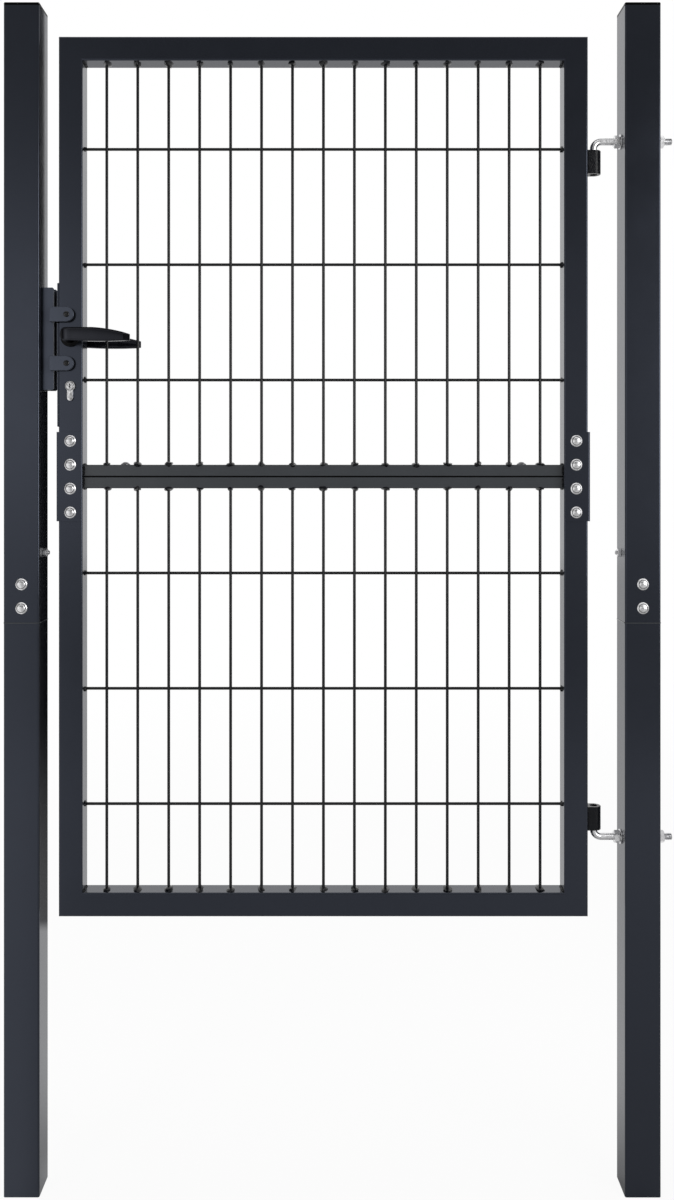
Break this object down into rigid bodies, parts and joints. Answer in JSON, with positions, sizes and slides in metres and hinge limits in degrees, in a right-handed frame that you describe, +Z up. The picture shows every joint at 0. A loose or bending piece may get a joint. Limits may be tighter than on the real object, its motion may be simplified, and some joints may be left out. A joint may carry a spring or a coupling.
{
  "type": "single-leaf garden gate with posts",
  "caption": "Single-leaf garden gate of anthracite coated steel tube with welded mesh, lever lock, adjustable hinges and its two square posts.",
  "frame": {"origin": "centre of the hinge post's foot, on the plane both posts stand on", "axes": "+X towards the hinge post from the latch post, +Y to the back, where the leaf opens to, +Z up"},
  "size_m": [1.1305, 0.132, 2],
  "materials": {
    "anthracite_steel": "satin powder coat",
    "coated_wire": "satin powder coat",
    "zinc_steel": "zinc plated",
    "nickel_cylinder": "matt nickel plated",
    "black_lever": "semi-gloss black",
    "black_cap": "matt moulded",
    "black_rubber": "matt"
  },
  "bodies": {
    "posts": {"latch_post_lower": "anthracite_steel", "latch_post_upper": "anthracite_steel", "latch_post_sleeve": "anthracite_steel", "latch_post_cap": "black_cap", "latch_post_bolts": "zinc_steel", "latch_post_nuts": "zinc_steel", "hinge_post_lower": "anthracite_steel", "hinge_post_upper": "anthracite_steel", "hinge_post_sleeve": "anthracite_steel", "hinge_post_cap": "black_cap", "hinge_post_bolts": "zinc_steel", "hinge_post_nuts": "zinc_steel", "upper_hinge_bolt": "zinc_steel", "lower_hinge_bolt": "zinc_steel", "hinge_nuts": "zinc_steel", "hinge_washers": "zinc_steel", "keep": "anthracite_steel", "keep_screws": "zinc_steel", "upper_stop": "anthracite_steel", "lower_stop": "anthracite_steel", "stop_buffers": "black_rubber"},
    "leaf": {"upper_latch_stile": "anthracite_steel", "lower_latch_stile": "anthracite_steel", "upper_hinge_stile": "anthracite_steel", "lower_hinge_stile": "anthracite_steel", "top_rail": "anthracite_steel", "bottom_rail": "anthracite_steel", "upper_mid_rail": "anthracite_steel", "lower_mid_rail": "anthracite_steel", "mid_rail_screws": "zinc_steel", "upper_mesh": "coated_wire", "lower_mesh": "coated_wire", "latch_joint_channel": "anthracite_steel", "hinge_joint_channel": "anthracite_steel", "joint_bolts": "zinc_steel", "joint_nuts": "zinc_steel", "upper_hinge_barrel": "anthracite_steel", "lower_hinge_barrel": "anthracite_steel", "lock_forend": "anthracite_steel", "lock_case": "zinc_steel", "lock_bolts": "zinc_steel", "lock_cylinder": "nickel_cylinder", "roses": "black_lever"},
    "handle": {"front_lever": "black_lever", "back_lever": "black_lever", "spindle": "zinc_steel"}
  },
  "joints": [
    {"name": "leaf_swing", "type": "hinge", "parent": "posts", "child": "leaf", "pos_m": [-0.0765, 0, 1.2], "axis": [0, 0, -1], "range_deg": [0, 90]},
    {"name": "handle_turn", "type": "hinge", "parent": "leaf", "child": "handle", "pos_m": [-0.96, 0, 1.44], "axis": [0, 1, 0], "range_deg": [0, 40], "stiffness_Nm_per_rad": 1.5, "springref_deg": -28.65}
  ]
}
